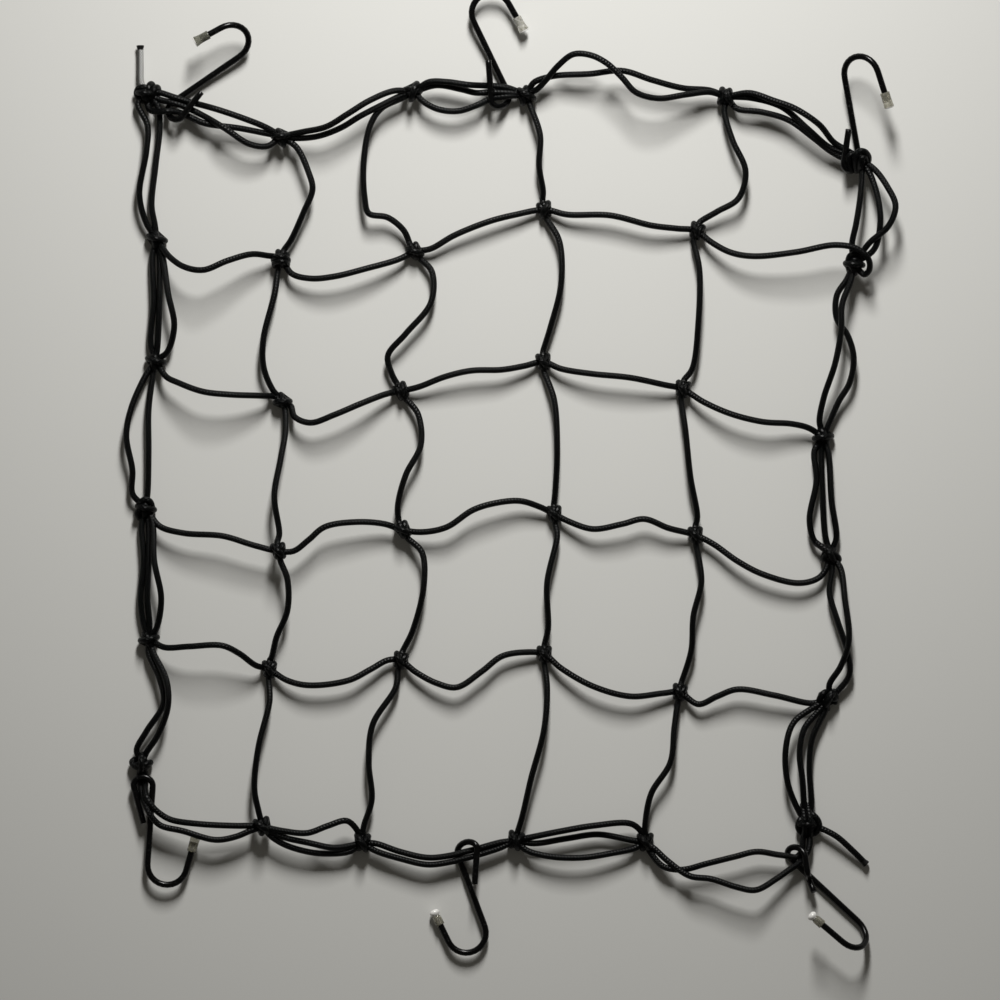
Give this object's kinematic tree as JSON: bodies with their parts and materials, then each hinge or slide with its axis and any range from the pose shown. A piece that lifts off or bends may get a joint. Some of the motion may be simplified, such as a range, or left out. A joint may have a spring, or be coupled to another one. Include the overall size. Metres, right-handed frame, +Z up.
{
  "type": "elastic cargo net with hooks",
  "caption": "Knotted elastic cargo net with a doubled edge cord and wire hooks with soft tip caps, lying loose and flat.",
  "frame": {"origin": "on the surface that the net lies on, under the middle of the whole object", "axes": "+Z up from the surface, +Y towards the edge with hooks 1 to 3, +X towards the side with hooks 3 and 6"},
  "size_m": [0.4328, 0.5399, 0.0259],
  "materials": {
    "cord": "black braided elastic cord, fine weave with a faint sheen",
    "coated_wire": "steel wire in a smooth glossy black coating",
    "clear_cap": "soft clear vinyl cap, slightly cloudy"
  },
  "bodies": {
    "root": {"mesh_cords": "cord", "border_cords": "cord", "cut_end_1": "cord", "cut_end_2": "cord", "hook_1": "coated_wire", "hook_2": "coated_wire", "hook_3": "coated_wire", "hook_4": "coated_wire", "hook_5": "coated_wire", "hook_6": "coated_wire", "hook_cap_1": "clear_cap", "hook_cap_2": "clear_cap", "hook_cap_3": "clear_cap", "hook_cap_4": "clear_cap", "hook_cap_5": "clear_cap", "hook_cap_6": "clear_cap"}
  },
  "joints": []
}
